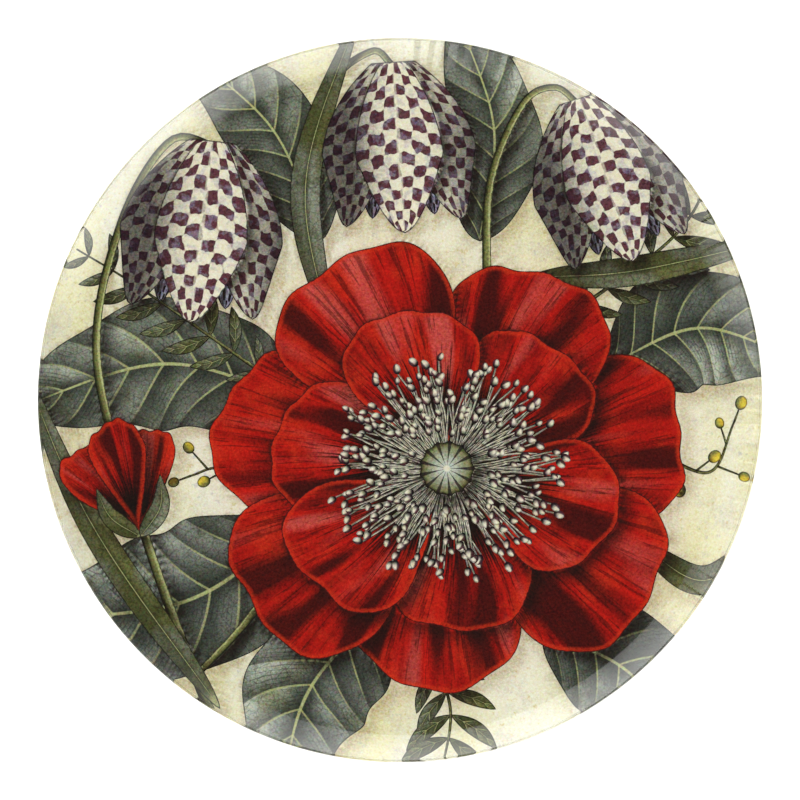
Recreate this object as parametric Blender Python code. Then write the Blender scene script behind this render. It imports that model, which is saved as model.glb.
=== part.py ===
"""A round decoupage plate: a print pasted behind clear glass, sealed with a backing sheet and footed with felt.

Metres, +Z up. The plate lies on its felt, and the origin is the middle of the felt's underside.
Every piece is turned about Z. The glass's upper surface is the reference: a flat field, and a rim that curves up
round it in one arc. Each layer below it is that same surface taken down by a depth along its normal. The glass's
edge is ground upright, with its two corners rounded over.
"""

import math

import bmesh
import bpy

# Driving dimensions of the glass.
PLATE_RADIUS = 0.1015
FIELD_RADIUS = 0.0875
RIM_ARC_RADIUS = 0.021
GLASS_THICKNESS = 0.0025
LIP_ROUNDING = 0.0004

# The layers under the glass, and the gap that neighbouring solids keep.
PAPER_THICKNESS = 0.0004
FELT_THICKNESS = 0.0012
FELT_RADIUS = 0.076
FELT_EDGE_BEVEL = 0.0003
LAYER_GAP = 0.0003
PAPER_SETBACK = 0.0001

# Facets round the axis, along the rim's arc, and round each corner of the lip.
TURN_STEPS = 96
RIM_STEPS = 8
CORNER_STEPS = 4

# Heights, built up from the surface that the felt rests on.
BACKING_UNDERSIDE = FELT_THICKNESS + LAYER_GAP
PRINT_UNDERSIDE = BACKING_UNDERSIDE + PAPER_THICKNESS + LAYER_GAP
GLASS_UNDERSIDE = PRINT_UNDERSIDE + PAPER_THICKNESS + LAYER_GAP
FIELD_HEIGHT = GLASS_UNDERSIDE + GLASS_THICKNESS


def rim_point(depth, angle):
    """The point of the rim this deep under the glass's upper surface, where the surface slopes by the angle."""
    reach = RIM_ARC_RADIUS + depth
    height = FIELD_HEIGHT + RIM_ARC_RADIUS - reach * math.cos(angle)
    return (FIELD_RADIUS + reach * math.sin(angle), height)


def rim_angle(depth, radius):
    """How steep the rim is at a depth and a radius."""
    return math.asin((radius - FIELD_RADIUS) / (RIM_ARC_RADIUS + depth))


def layer_path(depth, last_angle):
    """(radius, height) points of the surface at a depth, from the axis out to where it slopes by the last angle."""
    angles = [last_angle * step / RIM_STEPS for step in range(RIM_STEPS + 1)]
    return [(0.0, FIELD_HEIGHT - depth)] + [rim_point(depth, angle) for angle in angles]


def lip_corner(centre, start_angle, end_angle):
    """The points of a turn of the lip's rounding about a centre."""
    points = []
    for step in range(CORNER_STEPS + 1):
        angle = start_angle + (end_angle - start_angle) * step / CORNER_STEPS
        turn = (LIP_ROUNDING * math.cos(angle), LIP_ROUNDING * math.sin(angle))
        points.append((centre[0] + turn[0], centre[1] + turn[1]))
    return points


def glass_profile():
    """Each corner is centred under the glass's skin, so that its turn meets the layer's slope and the edge."""
    lower_depth = GLASS_THICKNESS - LIP_ROUNDING
    upper_depth = LIP_ROUNDING
    lower_angle = rim_angle(lower_depth, PLATE_RADIUS - LIP_ROUNDING)
    upper_angle = rim_angle(upper_depth, PLATE_RADIUS - LIP_ROUNDING)
    lower_corner = lip_corner(rim_point(lower_depth, lower_angle), lower_angle - math.pi / 2, 0.0)
    upper_corner = lip_corner(rim_point(upper_depth, upper_angle), 0.0, upper_angle + math.pi / 2)
    underside = layer_path(GLASS_THICKNESS, lower_angle)
    upper = layer_path(0.0, upper_angle)
    return underside[:-1] + lower_corner + upper_corner + upper[-2::-1]


def sheet_profile(underside_height):
    """A sheet of paper that follows the glass, with its cut edge a little short of the plate's edge."""
    lower_depth = FIELD_HEIGHT - underside_height
    upper_depth = lower_depth - PAPER_THICKNESS
    paper_radius = PLATE_RADIUS - PAPER_SETBACK
    underside = layer_path(lower_depth, rim_angle(lower_depth, paper_radius))
    upper = layer_path(upper_depth, rim_angle(upper_depth, paper_radius))
    return underside + upper[::-1]


def felt_profile():
    return [
        (0.0, 0.0),
        (FELT_RADIUS - FELT_EDGE_BEVEL, 0.0),
        (FELT_RADIUS, FELT_EDGE_BEVEL),
        (FELT_RADIUS, FELT_THICKNESS - FELT_EDGE_BEVEL),
        (FELT_RADIUS - FELT_EDGE_BEVEL, FELT_THICKNESS),
        (0.0, FELT_THICKNESS),
    ]


def ring(bm, radius, height):
    """One turned point: a single vertex on the axis, or a ring of them round it."""
    if radius == 0.0:
        return [bm.verts.new((0.0, 0.0, height))]
    turns = [2 * math.pi * step / TURN_STEPS for step in range(TURN_STEPS)]
    return [bm.verts.new((radius * math.cos(turn), radius * math.sin(turn), height)) for turn in turns]


def band(bm, lower, upper):
    """The faces between two neighbouring rings, either of which may be the vertex on the axis."""
    for step in range(TURN_STEPS):
        after = (step + 1) % TURN_STEPS
        corners = [
            lower[step % len(lower)],
            lower[after % len(lower)],
            upper[after % len(upper)],
            upper[step % len(upper)],
        ]
        bm.faces.new(dict.fromkeys(corners))


def plain_material(name, colour, roughness, transmission=0.0):
    material = bpy.data.materials.new(name)
    material.use_nodes = True
    shader = material.node_tree.nodes["Principled BSDF"]
    shader.inputs["Base Color"].default_value = (*colour, 1.0)
    shader.inputs["Roughness"].default_value = roughness
    shader.inputs["Metallic"].default_value = 0.0
    shader.inputs["Transmission Weight"].default_value = transmission
    return material


def turned(name, profile, material):
    """One solid turned about Z from a profile that starts and ends on the axis, underside first."""
    bm = bmesh.new()
    rings = [ring(bm, radius, height) for radius, height in profile]
    for lower, upper in zip(rings, rings[1:]):
        band(bm, lower, upper)
    bmesh.ops.recalc_face_normals(bm, faces=bm.faces)
    mesh = bpy.data.meshes.new(name)
    bm.to_mesh(mesh)
    bm.free()
    mesh.shade_smooth()
    mesh.set_sharp_from_angle(angle=math.radians(40))
    mesh.materials.append(material)
    piece = bpy.data.objects.new(name, mesh)
    bpy.context.scene.collection.objects.link(piece)
    return piece


def clear_scene():
    for thing in list(bpy.data.objects):
        bpy.data.objects.remove(thing)


def build():
    clear_scene()
    glass = plain_material("clear_glass", (0.93, 0.97, 0.95), 0.03, transmission=1.0)
    print_paper = plain_material("printed_paper", (0.80, 0.72, 0.50), 0.6)
    back_paper = plain_material("backing_paper", (0.78, 0.72, 0.58), 0.55)
    felt = plain_material("felt", (0.06, 0.09, 0.06), 0.95)
    turned("glass_plate", glass_profile(), glass)
    turned("printed_sheet", sheet_profile(PRINT_UNDERSIDE), print_paper)
    turned("backing_sheet", sheet_profile(BACKING_UNDERSIDE), back_paper)
    turned("felt_pad", felt_profile(), felt)


build()
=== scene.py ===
"""The looks of a round decoupage plate: clear glass over a botanical print, a sealed back and a felt foot.

The print is a picture of this script's own. Each petal, leaf and stem is a thin skin of printed colour
that is laid over the next and bent with the plate. Its shading is drawn by nodes from numbers stored on its
points: how far along the shape, how far across it, how far in from its outline, and how near it is to a
shape above it.
"""

import math
import random
from dataclasses import dataclass

import bmesh
import bpy
import numpy as np
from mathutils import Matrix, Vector
from mathutils.kdtree import KDTree


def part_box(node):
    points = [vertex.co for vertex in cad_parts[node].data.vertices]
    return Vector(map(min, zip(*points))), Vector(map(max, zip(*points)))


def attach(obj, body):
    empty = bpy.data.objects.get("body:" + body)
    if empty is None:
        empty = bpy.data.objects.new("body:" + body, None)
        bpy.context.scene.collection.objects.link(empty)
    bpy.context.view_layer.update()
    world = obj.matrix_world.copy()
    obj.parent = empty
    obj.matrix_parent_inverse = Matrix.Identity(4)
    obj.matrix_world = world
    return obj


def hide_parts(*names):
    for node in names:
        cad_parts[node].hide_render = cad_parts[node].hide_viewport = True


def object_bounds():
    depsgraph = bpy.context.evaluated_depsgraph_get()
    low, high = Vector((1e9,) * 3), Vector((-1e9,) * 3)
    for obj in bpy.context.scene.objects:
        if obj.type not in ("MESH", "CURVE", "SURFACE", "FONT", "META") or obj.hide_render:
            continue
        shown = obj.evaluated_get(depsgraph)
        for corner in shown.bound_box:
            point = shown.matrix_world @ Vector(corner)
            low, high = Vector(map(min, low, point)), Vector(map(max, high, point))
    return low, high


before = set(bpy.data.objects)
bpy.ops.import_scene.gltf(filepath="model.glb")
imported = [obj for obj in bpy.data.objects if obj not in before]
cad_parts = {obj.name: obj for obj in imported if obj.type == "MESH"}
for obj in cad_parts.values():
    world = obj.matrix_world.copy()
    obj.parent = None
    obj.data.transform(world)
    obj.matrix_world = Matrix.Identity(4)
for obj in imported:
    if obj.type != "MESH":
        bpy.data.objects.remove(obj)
cad_low, cad_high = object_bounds()

# The plate's section. Each layer is the glass's face taken down by a depth along its normal.
PLATE_RADIUS = 0.1015
FIELD_RADIUS = 0.0875
RIM_ARC_RADIUS = 0.021
GLASS_THICKNESS = 0.0025
LIP_ROUNDING = 0.0004
PAPER_THICKNESS = 0.0004
FIELD_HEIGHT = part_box("glass_plate")[0][2] + GLASS_THICKNESS
PRINT_DEPTH = FIELD_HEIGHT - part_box("printed_sheet")[0][2] - PAPER_THICKNESS
BACKING_DEPTH = FIELD_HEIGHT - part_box("backing_sheet")[0][2] - PAPER_THICKNESS

# The paper is trimmed flush with the glass. The glass reaches just into it, so that no air lies between
# them, and the inks lie inside the glass, each level a step above the last.
PAPER_RADIUS = PLATE_RADIUS - 0.00002
GLASS_INTO_PAPER = 0.00004
INK_STEP = 0.00004

# How many flat sides the turned pieces have all round.
TURN_STEPS = 288


def layer_height(radius, depth):
    """Height at a radius of the layer that lies this deep under the glass's face."""
    reach = RIM_ARC_RADIUS + depth
    along_rim = np.maximum(radius - FIELD_RADIUS, 0.0)
    return FIELD_HEIGHT + RIM_ARC_RADIUS - np.sqrt(reach**2 - along_rim**2)


def layer_slope(radius, depth):
    """The angle that a layer slopes by at a radius on the rim."""
    return math.asin((radius - FIELD_RADIUS) / (RIM_ARC_RADIUS + depth))


# ---------------------------------------------------------------- colours and node trees


def colour(text):
    """A linear colour from its sRGB hex text."""
    channels = [int(text[start : start + 2], 16) / 255 for start in (0, 2, 4)]
    return (*[c / 12.92 if c <= 0.04045 else ((c + 0.055) / 1.055) ** 2.4 for c in channels], 1.0)


CREAM = colour("f2eedc")
CREAM_YELLOW = colour("ede6bc")
CREAM_GREY = colour("ddd6c4")
BEIGE = colour("b9a67c")
FLECK = colour("d2bf62")
RED = colour("c01c10")
RED_DEEP = colour("90110b")
RED_WARM = colour("d03418")
ROSE = colour("cc5a50")
MAROON = colour("3e0e0a")
UMBER = colour("1c110c")
SLATE = colour("848a82")
SLATE_DARK = colour("2a2e26")
SLATE_PALE = colour("ccd0c2")
OLIVE = colour("7c7c48")
OLIVE_DARK = colour("33361c")
OLIVE_PALE = colour("bcbe84")
IVORY = colour("efe8d0")
PLUM = colour("5e363e")
PLUM_DARK = colour("20141c")
LAVENDER = colour("aaa4bc")
GOLD = colour("d8be40")
LINE = colour("1a1414")


class Tree:
    """Builds one material's node tree from small steps. A value is a plain number, a colour or a socket."""

    def __init__(self, name):
        self.material = bpy.data.materials.new(name)
        self.material.use_nodes = True
        self.nodes = self.material.node_tree.nodes
        self.shader = self.nodes["Principled BSDF"]
        self.output = self.nodes["Material Output"]

    def node(self, kind, **settings):
        node = self.nodes.new(kind)
        for name, value in settings.items():
            setattr(node, name, value)
        return node

    def feed(self, socket, value):
        if isinstance(value, bpy.types.NodeSocket):
            self.material.node_tree.links.new(value, socket)
        else:
            socket.default_value = value

    def math(self, operation, *values):
        node = self.node("ShaderNodeMath", operation=operation)
        for socket, value in zip(node.inputs, values):
            self.feed(socket, value)
        return node.outputs[0]

    def add(self, first, second):
        return self.math("ADD", first, second)

    def times(self, first, second):
        return self.math("MULTIPLY", first, second)

    def rise(self, value, start, end):
        """0 before start and 1 past end, with a smooth rise between. It falls where start is past end."""
        node = self.node("ShaderNodeMapRange", interpolation_type="SMOOTHSTEP")
        self.feed(node.inputs["Value"], value)
        self.feed(node.inputs["From Min"], start)
        self.feed(node.inputs["From Max"], end)
        return node.outputs[0]

    def blend(self, factor, first, second, mode="MIX"):
        """Two colours mixed by a factor. The node takes colours in sockets 6 and 7, and gives one in 2."""
        node = self.node("ShaderNodeMix", data_type="RGBA", blend_type=mode)
        self.feed(node.inputs["Factor"], factor)
        self.feed(node.inputs[6], first)
        self.feed(node.inputs[7], second)
        return node.outputs[2]

    def place(self, x, y, z=0.0):
        node = self.node("ShaderNodeCombineXYZ")
        for socket, value in zip(node.inputs, (x, y, z)):
            self.feed(socket, value)
        return node.outputs[0]

    def ground(self):
        """The point's own place on the object, in metres."""
        return self.node("ShaderNodeTexCoord").outputs["Object"]

    def noise(self, place, scale, detail=2.0, roughness=0.5, output="Fac"):
        node = self.node("ShaderNodeTexNoise")
        self.feed(node.inputs["Vector"], place)
        node.inputs["Scale"].default_value = scale
        node.inputs["Detail"].default_value = detail
        node.inputs["Roughness"].default_value = roughness
        return node.outputs[output]

    def cells(self, place, scale, feature="F1"):
        node = self.node("ShaderNodeTexVoronoi", feature=feature)
        self.feed(node.inputs["Vector"], place)
        node.inputs["Scale"].default_value = scale
        return node.outputs["Distance"]

    def fact(self, name):
        """One of the numbers that are stored on a mesh's points."""
        return self.node("ShaderNodeAttribute", attribute_name=name).outputs["Fac"]

    def bump(self, height, strength, distance):
        """Roughens the surface, and the coat on it, by a height."""
        node = self.node("ShaderNodeBump")
        node.inputs["Strength"].default_value = strength
        node.inputs["Distance"].default_value = distance
        self.feed(node.inputs["Height"], height)
        for side in ("Normal", "Coat Normal"):
            self.feed(self.shader.inputs[side], node.outputs[0])


def store_fact(mesh, name, values):
    """Stores a number on each of a mesh's points."""
    layer = mesh.attributes.new(name, "FLOAT", "POINT")
    layer.data.foreach_set("value", np.asarray(values, dtype=np.float32))


# ---------------------------------------------------------------- printed shapes


# How far a drawn shadow reaches, in metres, and the way it falls.
SHADOW_REACH = 0.0068
SHADOW_HEADING = np.array([0.70, -0.71])


@dataclass
class Shape:
    """A printed shape: a grid of points in the plane, with rows along the shape and columns across it.

    along runs from 0 to 1 by row, and across from -1 to 1 by column. away is how far each point turns from
    the light, from 0 to 1. The rows of a round shape run out from its centre, so only its last row is its
    border.
    """

    plan: np.ndarray
    along: np.ndarray
    across: np.ndarray
    away: np.ndarray = None
    ink: str = ""
    level: float = 0.0
    casts: bool = True
    seed: float = 0.0
    is_round: bool = False

    def points(self):
        return self.plan.reshape(-1, 2)

    def border(self):
        """The shape's outline, once round."""
        plan = self.plan
        if self.is_round:
            return plan[-1]
        return np.concatenate([plan[:, 0], plan[-1, 1:], plan[-2::-1, -1], plan[0, -2:0:-1]])


def distance_to_border(points, border):
    """How far each point is from the nearest stretch of a closed border."""
    start = border[None, :, :]
    run = np.roll(border, -1, axis=0)[None, :, :] - start
    length_squared = np.maximum((run**2).sum(axis=2), 1e-14)
    offset = points[:, None, :] - start
    share = np.clip((offset * run).sum(axis=2) / length_squared, 0.0, 1.0)
    gap = offset - share[:, :, None] * run
    return np.sqrt((gap**2).sum(axis=2)).min(axis=1)


class Print:
    """Every printed shape, and what the shapes above do to those below."""

    def __init__(self):
        self.shapes = []
        self.trees = {}

    def lay(self, ink, shape, level, casts=True):
        """Adds a shape that was drawn in units of the plate's radius, at a level above the paper."""
        shape.plan = shape.plan * PLATE_RADIUS
        shape.ink = ink
        shape.level = level
        shape.casts = casts
        shape.seed = len(self.shapes) * 1.37 % 50
        self.shapes.append(shape)

    def casters(self, level):
        """A tree of the outlines of the shapes above a level, or None at the top."""
        if level not in self.trees:
            borders = [shape.border() for shape in self.shapes if shape.casts and shape.level > level]
            self.trees[level] = point_tree(np.concatenate(borders)) if borders else None
        return self.trees[level]

    def cast(self, points, level):
        """The shade of the shapes above a level: 1 beside an outline's unlit side, 0 out of reach."""
        tree = self.casters(level)
        if tree is None:
            return np.zeros(len(points))
        nearest = np.array([tree.find((x, y, 0.0))[0][:2] for x, y in points])
        away = points - nearest
        gap = np.hypot(away[:, 0], away[:, 1])
        facing = (away @ SHADOW_HEADING) / np.maximum(gap, 1e-9)
        return np.clip(1.0 - gap / SHADOW_REACH, 0.0, 1.0) * (0.62 + 0.38 * facing)

    def facts(self, shape):
        """The numbers that a shape's ink reads on each of its points. Its edge is in millimetres."""
        rows, columns = shape.plan.shape[:2]
        away = np.zeros((rows, columns)) if shape.away is None else shape.away
        return {
            "along": np.repeat(shape.along, columns),
            "across": np.tile(shape.across, rows),
            "away": away.ravel(),
            "edge": distance_to_border(shape.points(), shape.border()) * 1000,
            "cast": self.cast(shape.points(), shape.level),
            "seed": np.full(rows * columns, shape.seed),
        }

    def piece(self, ink, material):
        """One mesh of all the shapes of an ink, bent with the plate and cut off at the paper's edge."""
        shapes = [shape for shape in self.shapes if shape.ink == ink]
        places, faces = [], []
        for shape in shapes:
            points = shape.points()
            radius = np.hypot(points[:, 0], points[:, 1])
            held = np.minimum(radius, PAPER_RADIUS)
            flat = points * (held / np.maximum(radius, 1e-9))[:, None]
            height = layer_height(held, PRINT_DEPTH - INK_STEP * shape.level)
            faces += grid_faces(shape.plan.shape[:2], len(places), radius < PAPER_RADIUS)
            places += np.column_stack([flat, height]).tolist()
        mesh = bpy.data.meshes.new(ink)
        mesh.from_pydata(places, [], faces)
        facts = [self.facts(shape) for shape in shapes]
        for name in facts[0]:
            store_fact(mesh, name, np.concatenate([values[name] for values in facts]))
        face_upwards(mesh)
        return riding(ink, mesh, material)


def point_tree(points):
    """Flat points, sorted so that the nearest one is found fast."""
    tree = KDTree(len(points))
    for number, (x, y) in enumerate(points):
        tree.insert((x, y, 0.0), number)
    tree.balance()
    return tree


def grid_faces(size, start, kept):
    """The faces of a grid that have at least one corner on the paper."""
    rows, columns = size
    faces = []
    for row in range(rows - 1):
        for column in range(columns - 1):
            first = row * columns + column
            corners = (first, first + columns, first + columns + 1, first + 1)
            if any(kept[corner] for corner in corners):
                faces.append([start + corner for corner in corners])
    return faces


def face_upwards(mesh):
    """Turns every face up, and clears away faces with no area and points with no face."""
    tidy = bmesh.new()
    tidy.from_mesh(mesh)
    bmesh.ops.dissolve_degenerate(tidy, edges=tidy.edges, dist=1e-7)
    bmesh.ops.delete(tidy, geom=[vert for vert in tidy.verts if not vert.link_faces], context="VERTS")
    for face in tidy.faces:
        face.normal_update()
        if face.normal.z < 0:
            face.normal_flip()
    tidy.to_mesh(mesh)
    tidy.free()
    mesh.shade_smooth()


def riding(name, mesh, material):
    """Puts a mesh on the plate with its material."""
    mesh.materials.append(material)
    piece = bpy.data.objects.new(name, mesh)
    bpy.context.scene.collection.objects.link(piece)
    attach(piece, "root")
    return piece


# ---------------------------------------------------------------- drawing, in units of the plate's radius


def smooth_path(points, count):
    """Evenly spread points on a smooth curve through the given ones (Catmull-Rom)."""
    points = np.array(points, dtype=float)
    padded = np.vstack([2 * points[0] - points[1], points, 2 * points[-1] - points[-2]])
    dense = []
    for before, first, second, after in zip(padded, padded[1:], padded[2:], padded[3:]):
        pull = second - before
        bend = 2 * before - 5 * first + 4 * second - after
        twist = 3 * first - before - 3 * second + after
        for t in np.linspace(0.0, 1.0, 24, endpoint=False):
            dense.append(first + 0.5 * (pull * t + bend * t**2 + twist * t**3))
    dense = np.array([*dense, points[-1]])
    run = np.concatenate([[0.0], np.cumsum(np.hypot(*np.diff(dense, axis=0).T))])
    wanted = np.linspace(0.0, run[-1], count)
    return np.column_stack([np.interp(wanted, run, dense[:, axis]) for axis in (0, 1)])


def normals_of(path):
    """Unit vectors to the left of a path at each of its points."""
    heading = np.gradient(path, axis=0)
    heading /= np.maximum(np.hypot(heading[:, 0], heading[:, 1]), 1e-12)[:, None]
    return np.column_stack([-heading[:, 1], heading[:, 0]])


def towards(angle):
    """The unit vector that points along an angle."""
    return np.array([math.cos(angle), math.sin(angle)])


def unit(vector):
    """A vector's direction."""
    return vector / np.hypot(*vector)


def close_to_edges(count):
    """Places from -1 to 1 that crowd towards both ends, so that a shape's border is finely divided."""
    return np.sin(np.linspace(-1.0, 1.0, count) * math.pi / 2)


def ribbon(path, half_width, across):
    """A grid either side of a path."""
    side = normals_of(path)
    return path[:, None, :] + side[:, None, :] * (half_width[:, None] * across[None, :])[:, :, None]


def petal(centre, angle, length, spread, rng, start=0.06, squash=1.0):
    """A broad petal that fans out from a bloom's centre, with a wavy end and rounded corners."""
    along = 1 - (1 - np.linspace(0.0, 1.0, 80)) ** 1.4
    across = close_to_edges(61)
    ruffle = 0.020 * np.sin(rng.uniform(3, 6) * across + rng.uniform(0, 6))
    ruffle += 0.009 * np.sin(rng.uniform(11, 18) * across + rng.uniform(0, 6))
    corner = 0.58 + 0.42 * (1 - np.abs(across) ** 2.6) ** (1 / 2.2)
    reach = length * (corner + ruffle)
    fan = 0.60 + 0.40 * np.sin(np.clip(along * 1.25, 0, 1) * math.pi / 2)
    radius = start + along[:, None] * (reach - start)[None, :]
    turn = angle + spread * fan[:, None] * across[None, :] + rng.uniform(-0.10, 0.10) * along[:, None] ** 2
    plan = np.stack([radius * np.cos(turn), radius * np.sin(turn) * squash], axis=2)
    return Shape(plan + np.array(centre), along, across)


def leaf(path, width, rng, rows=90, widest=0.4, wave=0.05, columns=21):
    """A leaf along a path: pointed at its tip, rounded at its base, with a wavy margin."""
    along = np.linspace(0.0, 1.0, rows)
    across = close_to_edges(columns)
    body = np.sin(math.pi * along ** (math.log(0.5) / math.log(widest))) ** 0.8
    margin = 1 + wave * np.sin(along * rng.uniform(16, 22) + rng.uniform(0, 6))
    return Shape(ribbon(smooth_path(path, rows), width * body * margin, across), along, across)


def stem(path, width, rows=90, taper=0.7):
    """A stalk along a path, whose width falls to a share of itself at the far end."""
    along = np.linspace(0.0, 1.0, rows)
    across = close_to_edges(7)
    return Shape(ribbon(smooth_path(path, rows), width * (1 - (1 - taper) * along), across), along, across)


def oval(start, angle, length, width, rows=12, columns=9):
    """An oval that runs from a point along an angle."""
    along = (1 + close_to_edges(rows)) / 2
    across = close_to_edges(columns)
    half = width * np.sqrt(np.clip(1 - (2 * along - 1) ** 2, 0.0, 1.0))
    spine = np.array(start) + towards(angle) * (along * length)[:, None]
    return Shape(ribbon(spine, half, across), along, across)


def disc(centre, radius, scallops, depth):
    """A round shape with a scalloped rim."""
    along = np.linspace(0.0, 1.0, 24)
    across = np.linspace(-1.0, 1.0, 73)
    rim = radius * (1 - depth * np.abs(np.sin(across * math.pi * scallops / 2)) ** 0.7)
    turn = across * math.pi
    reach = along[:, None] * rim[None, :]
    plan = np.stack([reach * np.cos(turn), reach * np.sin(turn)], axis=2)
    return Shape(plan + np.array(centre), along, across, is_round=True)


def tepal(top, angle, length, width, middle_share, half_share, curl):
    """One scale of a nodding bell.

    The shares place it in the bell's width, and curl turns its tip outwards.
    """
    along = np.linspace(0.0, 1.0, 60)
    across = close_to_edges(27)
    bell = np.sin(np.clip(along * 1.5 + 0.12, 0, 1) * math.pi / 2) ** 0.75
    close = np.clip((1 - along) / 0.45, 0.0, 1.0) ** 0.60
    middle = middle_share * bell * (1 + curl * along**4)
    outward = -1.0 if middle_share < 0 else 1.0
    sideways = middle[:, None] + (half_share * bell * close)[:, None] * across[None, :] * outward
    spine = np.array(top) + towards(angle) * (along * length)[:, None]
    plan = spine[:, None, :] + towards(angle + math.pi / 2) * (width * sideways)[:, :, None]
    return Shape(plan, along, across, np.clip(np.abs(sideways - 0.15), 0.0, 1.0) ** 1.6)


# ---------------------------------------------------------------- the picture


BLOOM = np.array([0.13, -0.19])


def lay_bloom(sheet, rng):
    """The large red bloom: two rings of petals, a crowd of stamens and a rayed seed head."""
    rings = [(7, 0.66, 0.54, 0.2, (0, 3, 1, 5, 2, 6, 4)), (6, 0.49, 0.60, 0.75, (0, 2, 4, 1, 3, 5))]
    for ring, (count, length, spread, turn, order) in enumerate(rings):
        for place, number in enumerate(order):
            angle = turn + 2 * math.pi * number / count + rng.uniform(-0.07, 0.07)
            size = length * rng.uniform(0.94, 1.05)
            level = 3 + ring * 3 + place * 3 / count
            sheet.lay("petals", petal(BLOOM, angle, size, spread, rng, squash=0.95), level)
    lay_stamens(sheet, rng)
    sheet.lay("seed_head", disc(BLOOM, 0.080, 13, 0.10), 11.0)


def lay_stamens(sheet, rng):
    """Stamens all round the seed head, the longest lowest."""
    count = 300
    golden_angle = math.pi * (3 - math.sqrt(5))
    for number in range(count):
        turn = number * golden_angle + rng.uniform(-0.06, 0.06)
        share = 1 - number / count
        reach = 0.100 + 0.215 * share**0.8 + rng.uniform(-0.014, 0.014)
        radii = np.array([0.05, reach * 0.6, reach])
        turns = turn + rng.uniform(-0.20, 0.20) * (radii / reach) ** 2
        points = np.column_stack([radii * np.cos(turns), radii * np.sin(turns) * 0.95]) + BLOOM
        level = 9.0 + 1.9 * (1 - share)
        sheet.lay("filaments", stem(points, 0.0042, rows=12, taper=0.7), level, casts=False)
        length = rng.uniform(0.022, 0.031)
        heading = turns[-1] + rng.uniform(-0.9, 0.9)
        sheet.lay("anthers", oval(points[-1], heading, length, length * 0.36), level + 0.05, casts=False)


def lay_bell(sheet, top, angle, length, level):
    """A nodding bell: two scales behind, two at its sides and one in front."""
    width = length * 0.46
    for middle in (-0.34, 0.34):
        sheet.lay("bell_linings", tepal(top, angle, length * 0.94, width, middle, 0.30, 0.2), level)
    for middle in (-0.56, 0.56):
        sheet.lay("bells", tepal(top, angle, length * 0.98, width, middle, 0.44, 0.35), level + 0.4)
    sheet.lay("bells", tepal(top, angle, length * 1.04, width, 0.0, 0.58, 0.0), level + 0.8)


def lay_frond(sheet, path, pairs, length, level, rng):
    """A feathered leaf: pairs of slim leaflets along a stalk, shorter towards both ends."""
    stalk = smooth_path(path, pairs * 4 + 1)
    side = normals_of(stalk)
    sheet.lay("stems", stem(path, 0.006, rows=60, taper=0.4), level + 0.2, casts=False)
    for pair in range(pairs):
        spot = 4 * pair + 2
        forward = unit(stalk[spot + 1] - stalk[spot - 1])
        size = length * math.sin(math.pi * (0.25 + 0.62 * pair / pairs)) * rng.uniform(0.9, 1.1)
        for hand in (-1, 1):
            bend = stalk[spot] + (forward * 0.35 + side[spot] * hand * 0.55) * size
            tip = stalk[spot] + (forward * 0.75 + side[spot] * hand * 0.95) * size
            rib = [stalk[spot], bend, tip]
            leaflet = leaf(rib, size * 0.17, rng, rows=24, widest=0.5, wave=0.0, columns=11)
            sheet.lay("fronds", leaflet, level, casts=False)


def lay_spray(sheet, path, buds, level, rng):
    """A thin stalk that ends in a round bud, with more on short side stalks."""
    sheet.lay("stems", stem(path, 0.006, rows=60, taper=0.5), level, casts=False)
    stalk = smooth_path(path, buds + 1)
    side = normals_of(stalk)
    for bud in range(1, buds + 1):
        hand = 0 if bud == buds else (-1) ** bud
        forward = unit(stalk[bud] - stalk[bud - 1])
        tip = stalk[bud] + side[bud] * hand * rng.uniform(0.030, 0.050) + forward * 0.035
        side_stalk = stem([stalk[bud], (stalk[bud] + tip) / 2, tip], 0.0035, rows=8)
        sheet.lay("stems", side_stalk, level, casts=False)
        heading = math.atan2(*(tip - stalk[bud])[::-1])
        size = rng.uniform(0.032, 0.044)
        round_bud = oval(tip, heading, size, size * 0.42, rows=14, columns=11)
        sheet.lay("buds", round_bud, level + 0.2, casts=False)


def lay_red_bud(sheet, base, angle, length, level, rng):
    """A half-open bud: three petals in a cup, held by two green sepals."""
    for turn, share in ((-0.38, 0.92), (0.38, 0.92), (0.0, 1.0)):
        sheet.lay("petals", petal(base, angle + turn, length * share, 0.34, rng, start=0.01), level + share)
    for turn in (-0.55, 0.5):
        middle = np.array(base) + length * 0.3 * towards(angle + turn * 1.5)
        tip = np.array(base) + length * 0.55 * towards(angle + turn)
        sheet.lay("slim_leaves", leaf([base, middle, tip], 0.028, rng, rows=40, wave=0.0), level + 1.4)


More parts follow.
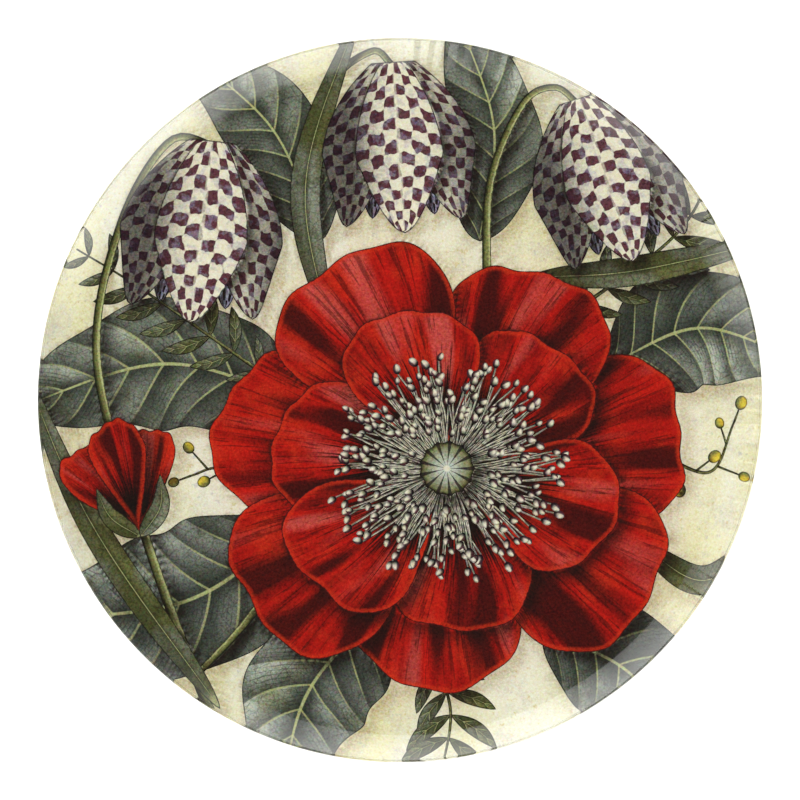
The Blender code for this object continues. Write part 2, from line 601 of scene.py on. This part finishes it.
def lay_foliage(sheet, rng):
    """Broad leaves, long blades, fronds and budding sprays round the bloom."""
    for path, width, level in [
        ([(-0.30, -0.36), (-0.60, -0.56), (-1.08, -0.62)], 0.21, 1.0),
        ([(-0.04, -0.56), (-0.26, -0.82), (-0.34, -1.16)], 0.18, 1.4),
        ([(0.40, -0.64), (0.66, -0.78), (0.86, -1.12)], 0.17, 1.0),
        ([(0.58, 0.10), (0.84, 0.20), (1.14, 0.10)], 0.17, 1.2),
        ([(-0.28, 0.00), (-0.66, 0.10), (-1.12, -0.04)], 0.18, 1.2),
        ([(0.22, 0.44), (0.26, 0.76), (0.14, 1.12)], 0.13, 1.0),
        ([(-0.22, 0.44), (-0.36, 0.76), (-0.66, 1.02)], 0.13, 1.1),
    ]:
        sheet.lay("broad_leaves", leaf(path, width, rng, rows=120, columns=51), level)
    for path in [
        [(-0.50, -0.86), (-0.86, -0.34), (-1.08, 0.16)],
        [(-0.20, 0.20), (-0.26, 0.62), (-0.10, 1.12)],
        [(0.36, 0.34), (0.66, 0.36), (1.10, 0.46)],
        [(0.66, -0.40), (0.86, -0.50), (1.08, -0.30)],
    ]:
        sheet.lay("slim_leaves", leaf(path, 0.042, rng, wave=0.0), 2.4)
    lay_frond(sheet, [(0.48, 0.24), (0.80, 0.50), (0.92, 0.84)], 10, 0.13, 1.6, rng)
    lay_frond(sheet, [(0.06, -0.66), (0.14, -0.86), (0.10, -1.10)], 7, 0.13, 1.6, rng)
    lay_frond(sheet, [(-0.36, 0.06), (-0.72, 0.31), (-0.90, 0.42)], 8, 0.12, 1.6, rng)
    lay_spray(sheet, [(0.70, -0.14), (0.86, -0.20), (0.93, -0.06)], 5, 2.6, rng)
    lay_spray(sheet, [(-0.40, -0.25), (-0.50, -0.19), (-0.58, -0.21)], 4, 2.6, rng)


def lay_stalks(sheet):
    """The three bells' arched stalks, and a plain one."""
    left = [(-0.46, -1.06), (-0.70, -0.40), (-0.84, 0.10), (-0.78, 0.48), (-0.64, 0.72), (-0.50, 0.70)]
    middle = [(-0.14, 0.10), (-0.27, 0.55), (-0.20, 0.86), (-0.08, 0.97), (-0.02, 0.93)]
    right = [(0.24, 0.30), (0.25, 0.60), (0.34, 0.82), (0.43, 0.87), (0.50, 0.82)]
    plain = [(-0.30, -0.44), (-0.43, -0.62), (-0.57, -0.77)]
    for path, width in ((left, 0.015), (middle, 0.014), (right, 0.013), (plain, 0.013)):
        sheet.lay("stems", stem(path, width), 2)


def draw_picture():
    """The whole print: foliage and stalks lowest, then the red bud, the bells and the bloom."""
    rng = random.Random(11)
    sheet = Print()
    lay_foliage(sheet, rng)
    lay_stalks(sheet)
    lay_red_bud(sheet, (-0.72, -0.38), math.radians(104), 0.33, 2.6, rng)
    lay_bell(sheet, (-0.52, 0.72), math.radians(-97), 0.49, 9)
    lay_bell(sheet, (-0.02, 0.94), math.radians(-86), 0.46, 9)
    lay_bell(sheet, (0.50, 0.84), math.radians(-72), 0.46, 9)
    lay_bloom(sheet, rng)
    return sheet


# ---------------------------------------------------------------- inks


def grained(tree, paint):
    """Breaks a printed colour up with old paper's grain and puts it to use.

    Ink that is pasted to glass has no gloss of its own.
    """
    ground = tree.ground()
    grey_dots = tree.noise(ground, 1500, 2.0, 0.8)
    colour_dots = tree.noise(ground, 1100, 2.0, 0.8, "Color")
    speckle = tree.blend(0.35, grey_dots, colour_dots)
    grain = tree.node("ShaderNodeBrightContrast")
    tree.feed(grain.inputs["Color"], speckle)
    grain.inputs["Contrast"].default_value = 2.0
    paint = tree.blend(0.75, paint, grain.outputs[0], "SOFT_LIGHT")
    tree.feed(tree.shader.inputs["Base Color"], paint)
    tree.feed(tree.shader.inputs["Roughness"], tree.add(0.55, tree.times(tree.noise(ground, 900), 0.15)))
    tree.feed(tree.shader.inputs["Specular IOR Level"], 0.0)
    tree.bump(tree.noise(ground, 1500, 4.0), 0.15, 0.0001)
    return tree.material


def finished(tree, paint, line=1.0, shade=0.95):
    """What every ink shares: a drawn outline, the shade that shapes above drop on it, and speckle."""
    wander = tree.noise(tree.ground(), 700, 2.0)
    reach = tree.add(tree.fact("edge"), tree.times(tree.add(wander, -0.5), 0.6))
    paint = tree.blend(tree.times(tree.rise(reach, 0.42, 0.14), 0.9 * line), paint, LINE)
    paint = tree.blend(tree.times(tree.rise(tree.fact("cast"), 0.0, 1.0), shade), paint, UMBER)
    return grained(tree, paint)


def hatching(tree, position, spacing, tone):
    """Engraved lines that thicken as the tone darkens: 1 on a line. position counts across the lines."""
    wave = tree.math("PINGPONG", tree.times(position, 1 / spacing), 0.5)
    return tree.rise(wave, tone, tree.add(tone, -0.12))


def petal_ink():
    """Red silk: streaks and folds that run out from a dark, ragged base."""
    tree = Tree("petal_ink")
    along, across, seed, edge = (tree.fact(name) for name in ("along", "across", "seed", "edge"))
    streaks = tree.noise(tree.place(tree.times(across, 9.0), tree.times(along, 1.2), seed), 1.0, 3.0, 0.6)
    fine = tree.noise(tree.place(tree.times(across, 34.0), tree.times(along, 3.0), seed), 1.0, 2.0, 0.6)
    folds = tree.noise(tree.place(tree.times(across, 2.6), tree.times(along, 0.9), seed), 1.0, 1.0, 0.5)
    wash = tree.noise(tree.ground(), 70, 3.0, 0.6)
    paint = tree.blend(tree.rise(streaks, 0.35, 0.65), RED_DEEP, RED)
    paint = tree.blend(tree.times(tree.rise(wash, 0.45, 0.65), 0.5), paint, RED_WARM)
    paint = tree.blend(tree.times(tree.rise(folds, 0.54, 0.72), 0.75), paint, ROSE)
    paint = tree.blend(tree.times(tree.rise(folds, 0.49, 0.35), 0.95), paint, MAROON)
    paint = tree.blend(tree.times(tree.rise(fine, 0.55, 0.62), 0.60), paint, MAROON)
    ragged = tree.add(along, tree.times(tree.add(fine, -0.5), -0.9))
    paint = tree.blend(tree.rise(ragged, 0.70, 0.40), paint, MAROON)
    paint = tree.blend(tree.rise(ragged, 0.54, 0.34), paint, UMBER)
    paint = tree.blend(tree.times(tree.rise(edge, 1.8, 0.7), 0.6), paint, RED_WARM)
    return finished(tree, paint)


def leaf_ink(name, body, dark, pale, vein, count=9.0, lean=0.16):
    """A leaf's halves, its side veins with a shaded panel between each two, and a net of small veins."""
    tree = Tree(name)
    along, across = tree.fact("along"), tree.fact("across")
    ground = tree.ground()
    middle = tree.math("ABSOLUTE", across)
    phase = tree.times(tree.add(along, tree.times(middle, -lean)), count)
    own_tone = tree.math("FRACT", tree.times(tree.fact("seed"), 3.7))
    paint = tree.blend(tree.rise(tree.noise(ground, 60, 3.0), 0.38, 0.62), body, pale)
    paint = tree.blend(tree.times(own_tone, 0.55), paint, OLIVE)
    moss = tree.rise(tree.noise(ground, 95, 4.0, 0.65), 0.50, 0.68)
    paint = tree.blend(tree.times(moss, 0.6), paint, OLIVE)
    paint = tree.blend(tree.times(tree.rise(tree.math("FRACT", phase), 0.1, 1.0), 0.75), paint, dark)
    paint = tree.blend(tree.times(tree.rise(across, -0.4, 0.6), 0.50), paint, dark)
    paint = tree.blend(tree.times(tree.rise(along, 0.60, 0.15), 0.65), paint, dark)
    paint = tree.blend(tree.times(tree.rise(middle, 0.35, 0.0), 0.75), paint, dark)
    tone = tree.times(tree.rise(tree.noise(ground, 110, 2.0), 0.35, 0.75), 0.24)
    lines = hatching(tree, tree.add(phase, tree.times(tree.noise(ground, 300), 0.10)), 0.16, tone)
    paint = tree.blend(tree.times(lines, 0.5), paint, dark)
    net = tree.cells(ground, 330, "DISTANCE_TO_EDGE")
    paint = tree.blend(tree.times(tree.rise(net, 0.06, 0.01), 0.40), paint, dark)
    side_vein = tree.rise(tree.math("PINGPONG", phase, 0.5), 0.055, 0.02)
    paint = tree.blend(tree.times(side_vein, tree.times(tree.rise(middle, 1.0, 0.4), 0.7)), paint, vein)
    paint = tree.blend(tree.times(tree.rise(middle, 0.032, 0.014), 0.9), paint, vein)
    return finished(tree, paint)


def stem_ink(name, pale, body, dark, line=1.0):
    """A round stalk lit from one side."""
    tree = Tree(name)
    along, across, seed = (tree.fact(fact) for fact in ("along", "across", "seed"))
    wander = tree.noise(tree.place(tree.times(across, 1.5), tree.times(along, 14.0), seed), 1.0, 3.0)
    turn = tree.add(across, tree.times(tree.add(wander, -0.5), 1.0))
    paint = tree.blend(tree.rise(turn, -0.7, -0.1), pale, body)
    paint = tree.blend(tree.rise(turn, 0.0, 0.7), paint, dark)
    return finished(tree, paint, line)


def bell_ink(name, light, dark, shadow):
    """Chequers that bow round a bell's scale, with a pale rib down its middle."""
    tree = Tree(name)
    along, across, away = (tree.fact(fact) for fact in ("along", "across", "away"))
    wobble = tree.add(tree.noise(tree.ground(), 230, 2.0), -0.5)
    bow = tree.times(tree.math("POWER", tree.math("ABSOLUTE", across), 2.0), -0.7)
    down = tree.add(tree.add(tree.times(along, 15.0), bow), tree.times(wobble, 1.3))
    over = tree.add(tree.times(across, 2.9), tree.times(wobble, 0.7))
    waves = [tree.math("SINE", tree.times(count, math.pi)) for count in (down, over)]
    bloom_dust = tree.rise(tree.noise(tree.ground(), 420, 3.0), 0.50, 0.62)
    rib = tree.rise(tree.math("ABSOLUTE", across), 0.07, 0.03)
    paint = tree.blend(tree.rise(tree.times(*waves), -0.05, 0.10), light, dark)
    paint = tree.blend(tree.times(bloom_dust, 0.35), paint, LAVENDER)
    paint = tree.blend(tree.times(rib, 0.5), paint, light)
    paint = tree.blend(tree.times(tree.rise(away, 0.05, 0.75), shadow), paint, PLUM_DARK)
    return finished(tree, paint)


def anther_ink():
    """An ivory grain, darker at its foot and on one side."""
    tree = Tree("anther_ink")
    along, across = tree.fact("along"), tree.fact("across")
    paint = tree.blend(tree.rise(across, 0.0, 0.5), IVORY, PLUM)
    paint = tree.blend(tree.rise(along, 0.65, 0.15), paint, PLUM_DARK)
    return finished(tree, paint, line=0.6)


def seed_head_ink():
    """A pale domed seed head with dark rays."""
    tree = Tree("seed_head_ink")
    along, across, edge = (tree.fact(fact) for fact in ("along", "across", "edge"))
    ray = tree.math("PINGPONG", tree.times(across, 6.5), 0.5)
    width = tree.add(0.12, tree.times(tree.rise(along, 0.0, 1.0), 0.10))
    paint = tree.blend(tree.rise(along, 0.1, 1.0), SLATE_PALE, OLIVE)
    paint = tree.blend(tree.times(tree.rise(ray, width, tree.add(width, -0.1)), 0.9), paint, PLUM_DARK)
    paint = tree.blend(tree.rise(along, 0.16, 0.08), paint, IVORY)
    paint = tree.blend(tree.times(tree.rise(edge, 1.2, 0.2), 0.8), paint, LINE)
    return finished(tree, paint)


def bud_ink():
    """A yellow berry, greener at its foot and on one side."""
    tree = Tree("bud_ink")
    along, across = tree.fact("along"), tree.fact("across")
    paint = tree.blend(tree.rise(across, -0.3, 0.7), GOLD, OLIVE)
    paint = tree.blend(tree.rise(along, 0.45, 0.0), paint, OLIVE_DARK)
    return finished(tree, paint, line=0.8)


def paper_ink():
    """Old cream paper: yellowed in soft upright bands, greyed in patches and flecked."""
    tree = Tree("print_paper")
    ground = tree.ground()
    squeezed = tree.node("ShaderNodeVectorMath", operation="MULTIPLY")
    tree.feed(squeezed.inputs[0], ground)
    squeezed.inputs[1].default_value = (1.0, 0.35, 1.0)
    bands = tree.noise(squeezed.outputs[0], 45, 2.0)
    mottle = tree.noise(ground, 130, 4.0, 0.65)
    paint = tree.blend(tree.rise(bands, 0.35, 0.65), CREAM_YELLOW, CREAM)
    paint = tree.blend(tree.times(tree.rise(mottle, 0.46, 0.66), 0.6), paint, CREAM_GREY)
    flecks = tree.noise(ground, 560, 2.0)
    paint = tree.blend(tree.times(tree.rise(flecks, 0.62, 0.74), 0.5), paint, FLECK)
    paint = tree.blend(tree.times(tree.rise(flecks, 0.36, 0.26), 0.35), paint, LAVENDER)
    paint = tree.blend(tree.times(tree.rise(tree.fact("cast"), 0.1, 1.0), 0.75), paint, BEIGE)
    return grained(tree, paint)


INKS = {
    "broad_leaves": lambda: leaf_ink("broad_leaf_ink", SLATE, SLATE_DARK, SLATE_PALE, OLIVE_PALE),
    "slim_leaves": lambda: leaf_ink("slim_leaf_ink", OLIVE, OLIVE_DARK, SLATE_PALE, OLIVE_PALE, 1.0, 0.0),
    "fronds": lambda: leaf_ink("frond_ink", SLATE, OLIVE_DARK, OLIVE, OLIVE_PALE, 4.0, 0.2),
    "stems": lambda: stem_ink("stem_ink", OLIVE_PALE, OLIVE, OLIVE_DARK),
    "buds": bud_ink,
    "petals": petal_ink,
    "filaments": lambda: stem_ink("filament_ink", IVORY, IVORY, PLUM_DARK, 0.8),
    "anthers": anther_ink,
    "seed_head": seed_head_ink,
    "bells": lambda: bell_ink("bell_ink", IVORY, PLUM, 0.85),
    "bell_linings": lambda: bell_ink("bell_lining_ink", LAVENDER, PLUM_DARK, 0.7),
}


# ---------------------------------------------------------------- glass, paper, backing, felt


def profile_path(depth, last_radius):
    """(radius, height) points of a layer from the axis out to a radius on the rim."""
    field = np.linspace(0.0, FIELD_RADIUS, 46)
    rim = np.linspace(FIELD_RADIUS, last_radius, 33)[1:]
    radii = np.concatenate([field, rim])
    return list(zip(radii, layer_height(radii, depth)))


def turned(name, profile, material, node):
    """A closed solid, turned from a profile whose ends are on the axis, that replaces a CAD node."""
    rows = []
    places = []
    for radius, height in profile:
        count = 1 if radius == 0.0 else TURN_STEPS
        rows.append([len(places) + step % count for step in range(TURN_STEPS)])
        for step in range(count):
            turn = 2 * math.pi * step / TURN_STEPS
            places.append((radius * math.cos(turn), radius * math.sin(turn), height))
    faces = []
    for lower, upper in zip(rows, rows[1:]):
        for step in range(TURN_STEPS):
            after = (step + 1) % TURN_STEPS
            faces.append(list(dict.fromkeys((lower[step], lower[after], upper[after], upper[step]))))
    mesh = bpy.data.meshes.new(name)
    mesh.from_pydata(places, [], faces)
    mesh.shade_smooth()
    mesh.set_sharp_from_angle(angle=math.radians(50))
    piece = riding(name, mesh, material)
    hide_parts(node)
    return piece


def glass_profile():
    """The glass, down to just inside the paper, with a rounded top to its upright edge."""
    centre_radius = PLATE_RADIUS - LIP_ROUNDING
    centre_height = float(layer_height(centre_radius, LIP_ROUNDING))
    turns = np.linspace(0.0, layer_slope(centre_radius, LIP_ROUNDING) + math.pi / 2, 12)
    edge_radii = centre_radius + LIP_ROUNDING * np.cos(turns)
    edge = list(zip(edge_radii, centre_height + LIP_ROUNDING * np.sin(turns)))
    under = profile_path(PRINT_DEPTH + GLASS_INTO_PAPER, PLATE_RADIUS)
    face = profile_path(0.0, edge_radii[-1])
    return under + edge + face[-2::-1]


def sheet_profile(depth):
    """A sheet of paper whose top lies this deep under the glass's face."""
    return profile_path(depth + PAPER_THICKNESS, PAPER_RADIUS) + profile_path(depth, PAPER_RADIUS)[::-1]


def glass_material():
    """Clear glass with a slow ripple, which lets light through to the print as a plain pane would.

    Its coat mirrors more than bare glass does, so that dim cards show on the rim and leave no noise there.
    """
    tree = Tree("clear_glass")
    tree.feed(tree.shader.inputs["Base Color"], colour("f6faf7"))
    tree.feed(tree.shader.inputs["Roughness"], tree.times(tree.noise(tree.ground(), 40, 3.0), 0.05))
    tree.feed(tree.shader.inputs["Transmission Weight"], 1.0)
    tree.feed(tree.shader.inputs["IOR"], 1.5)
    tree.feed(tree.shader.inputs["Coat Weight"], 1.0)
    tree.feed(tree.shader.inputs["Coat Roughness"], 0.02)
    tree.feed(tree.shader.inputs["Coat IOR"], 1.8)
    tree.bump(tree.noise(tree.ground(), 22, 2.0), 0.25, 0.0006)
    clear = tree.node("ShaderNodeBsdfTransparent")
    clear.inputs["Color"].default_value = (0.95, 0.965, 0.955, 1.0)
    mix = tree.node("ShaderNodeMixShader")
    tree.feed(mix.inputs[0], tree.node("ShaderNodeLightPath").outputs["Is Shadow Ray"])
    tree.feed(mix.inputs[1], tree.shader.outputs[0])
    tree.feed(mix.inputs[2], clear.outputs[0])
    tree.feed(tree.output.inputs["Surface"], mix.outputs[0])
    return tree.material


def backing_material():
    """Varnished paper with clouds and fibres."""
    tree = Tree("backing_paper")
    ground = tree.ground()
    fibres = tree.noise(ground, 420, 5.0, 0.65)
    clouds = tree.noise(ground, 30, 3.0)
    paint = tree.blend(tree.rise(clouds, 0.3, 0.7), colour("d8ccaa"), colour("c9bb94"))
    paint = tree.blend(tree.times(tree.rise(fibres, 0.5, 0.7), 0.4), paint, colour("a89870"))
    tree.feed(tree.shader.inputs["Base Color"], paint)
    tree.feed(tree.shader.inputs["Roughness"], tree.add(0.35, tree.times(fibres, 0.25)))
    tree.bump(fibres, 0.4, 0.0002)
    return tree.material


def felt_material():
    """Dark green felt: matted fibres, paler in patches."""
    tree = Tree("felt")
    ground = tree.ground()
    fibres = tree.noise(ground, 1800, 6.0, 0.75)
    pale_patches = tree.noise(ground, 160, 3.0)
    paint = tree.blend(tree.rise(fibres, 0.35, 0.7), colour("1f2a22"), colour("46564a"))
    # The colour is paler in patches. The surface has no lumps that could make them.
    paint = tree.blend(tree.times(tree.rise(pale_patches, 0.4, 0.7), 0.3), paint, colour("5a6a5c"))
    tree.feed(tree.shader.inputs["Base Color"], paint)
    tree.feed(tree.shader.inputs["Roughness"], 0.95)
    tree.shader.inputs["Sheen Weight"].default_value = 0.4
    tree.bump(fibres, 0.8, 0.0004)
    return tree.material


def lay_paper(sheet):
    """The sheet that the picture is printed on, with the shade that the shapes drop on it."""
    profile = sheet_profile(PRINT_DEPTH)
    paper = turned("print_paper", profile, paper_ink(), "printed_sheet")
    points = np.array([vert.co[:2] for vert in paper.data.vertices])
    store_fact(paper.data, "cast", sheet.cast(points, 0.0))


# ---------------------------------------------------------------- studio


CAMERA_HEIGHT = 1.2
FILM_WIDTH = 36.0
# The share of the frame's width that the plate takes up.
FRAME_FILL = 0.906
# How bright the surround looks where the glass mirrors it.
MIRRORED_SKY = 0.04
# The cards lie on a sphere round the plate. Their glow starts and is full at these elevations, in degrees.
CARD_DISTANCE = 1.0
CARD_FOOT = 12.0
CARD_FULL_HEIGHT = 22.0
FLOOR_HALF_WIDTH = 3.0


def overhead_light(name, place, size, power):
    """A soft square of light aimed at the plate, which only the diffuse surfaces see."""
    light = bpy.data.lights.new(name, "AREA")
    light.size = size
    light.energy = power
    lamp = bpy.data.objects.new(name, light)
    lamp.location = place
    lamp.rotation_euler = (-Vector(place)).to_track_quat("-Z", "Y").to_euler()
    lamp.visible_camera = False
    lamp.visible_transmission = False
    lamp.visible_glossy = False
    bpy.context.scene.collection.objects.link(lamp)


def mirrored_card(name, azimuth, half_width, side_fade, top, top_fade, thin, glow):
    """A tall glowing card beside the plate, which only the glass's mirrored rays see.

    Angles are in degrees from the plate's middle. The card's glow grows from nothing at its foot to all of
    it at CARD_FULL_HEIGHT, thins to a share of that at its top, and dies away over a fade above it and at
    its sides.
    """
    columns = np.linspace(-half_width, half_width, 41)
    rows = np.linspace(CARD_FOOT, top + top_fade, 81)
    sides, rises = (grid.ravel() for grid in np.meshgrid(columns, rows))
    turn, lift = np.radians(azimuth + sides), np.radians(rises)
    reach = CARD_DISTANCE * np.cos(lift)
    places = np.column_stack([reach * np.cos(turn), reach * np.sin(turn), CARD_DISTANCE * np.sin(lift)])
    side_share = np.clip((half_width - np.abs(sides)) / side_fade, 0.0, 1.0)
    heights = [CARD_FOOT, CARD_FULL_HEIGHT, top, top + top_fade]
    height_share = np.interp(rises, heights, [0.0, 1.0, thin, 0.0])
    tree = Tree(name)
    tree.feed(tree.shader.inputs["Base Color"], (0.0, 0.0, 0.0, 1.0))
    tree.feed(tree.shader.inputs["Emission Color"], (1.0, 1.0, 1.0, 1.0))
    tree.feed(tree.shader.inputs["Emission Strength"], tree.fact("glow"))
    tree.material.cycles.emission_sampling = "NONE"
    mesh = bpy.data.meshes.new(name)
    mesh.from_pydata(places.tolist(), [], grid_faces((len(rows), len(columns)), 0, [True] * len(places)))
    store_fact(mesh, "glow", glow * side_share**2 * (3 - 2 * side_share) * height_share)
    mesh.materials.append(tree.material)
    card = bpy.data.objects.new(name, mesh)
    bpy.context.scene.collection.objects.link(card)
    card.visible_camera = False
    card.visible_diffuse = False
    card.visible_transmission = False
    card.visible_shadow = False


def sky(brightness):
    """An even pale surround, with a dimmer look where glass mirrors it."""
    world = bpy.data.worlds.new("studio")
    world.use_nodes = True
    nodes, links = world.node_tree.nodes, world.node_tree.links
    rays = nodes.new("ShaderNodeLightPath")
    mirrored = nodes.new("ShaderNodeMath")
    mirrored.operation = "SUBTRACT"
    links.new(rays.outputs["Is Glossy Ray"], mirrored.inputs[0])
    links.new(rays.outputs["Is Transmission Ray"], mirrored.inputs[1])
    strength = nodes.new("ShaderNodeMapRange")
    strength.inputs["To Min"].default_value = brightness
    strength.inputs["To Max"].default_value = MIRRORED_SKY
    links.new(mirrored.outputs[0], strength.inputs["Value"])
    background = nodes["Background"]
    background.inputs["Color"].default_value = (1.0, 1.0, 1.0, 1.0)
    links.new(strength.outputs["Result"], background.inputs["Strength"])
    bpy.context.scene.world = world


def light_studio():
    """Even light from above, and the tall cards that the rim mirrors."""
    sky(1.58)
    overhead_light("key", (-0.3, 0.3, 1.4), 1.2, 9.8)
    mirrored_card("card_front", -60, 50, 18, top=57, top_fade=12, thin=0.5, glow=2.15)
    mirrored_card("card_back", 108, 65, 45, top=61, top_fade=2, thin=0.38, glow=2.05)
    mirrored_card("card_left", 222, 46, 20, top=56, top_fade=12, thin=0.4, glow=1.3)
    mirrored_card("card_right", 178, 34, 18, top=56, top_fade=12, thin=0.4, glow=0.95)
    bpy.context.scene.view_settings.view_transform = "Standard"


def lay_floor():
    """A plain pale floor under the plate."""
    tree = Tree("pale_floor")
    shade = tree.rise(tree.noise(tree.ground(), 900, 3.0), 0.3, 0.7)
    paint = tree.blend(shade, (0.95, 0.95, 0.95, 1.0), (0.97, 0.97, 0.97, 1.0))
    tree.feed(tree.shader.inputs["Base Color"], paint)
    tree.feed(tree.shader.inputs["Roughness"], 0.9)
    half = FLOOR_HALF_WIDTH
    mesh = bpy.data.meshes.new("floor")
    corners = [(-half, -half, 0.0), (half, -half, 0.0), (half, half, 0.0), (-half, half, 0.0)]
    mesh.from_pydata(corners, [], [(0, 1, 2, 3)])
    mesh.materials.append(tree.material)
    plane = bpy.data.objects.new("floor", mesh)
    bpy.context.scene.collection.objects.link(plane)


def place_camera():
    """Straight above the plate, which fills nearly the whole frame."""
    lens = bpy.data.cameras.new("camera")
    lens.sensor_width = FILM_WIDTH
    lens.lens = FRAME_FILL * FILM_WIDTH / 2 * (CAMERA_HEIGHT - cad_high[2]) / PLATE_RADIUS
    eye = bpy.data.objects.new("camera", lens)
    eye.location = (0.0, 0.0, CAMERA_HEIGHT)
    bpy.context.scene.collection.objects.link(eye)
    bpy.context.scene.camera = eye


# ---------------------------------------------------------------- the whole


def build():
    """Dresses the plate and sets up the studio round it."""
    place_camera()
    sheet = draw_picture()
    turned("glass", glass_profile(), glass_material(), "glass_plate")
    lay_paper(sheet)
    for ink, material in INKS.items():
        sheet.piece(ink, material())
    turned("backing", sheet_profile(BACKING_DEPTH), backing_material(), "backing_sheet")
    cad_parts["felt_pad"].material_slots[0].material = felt_material()
    lay_floor()
    light_studio()


build()
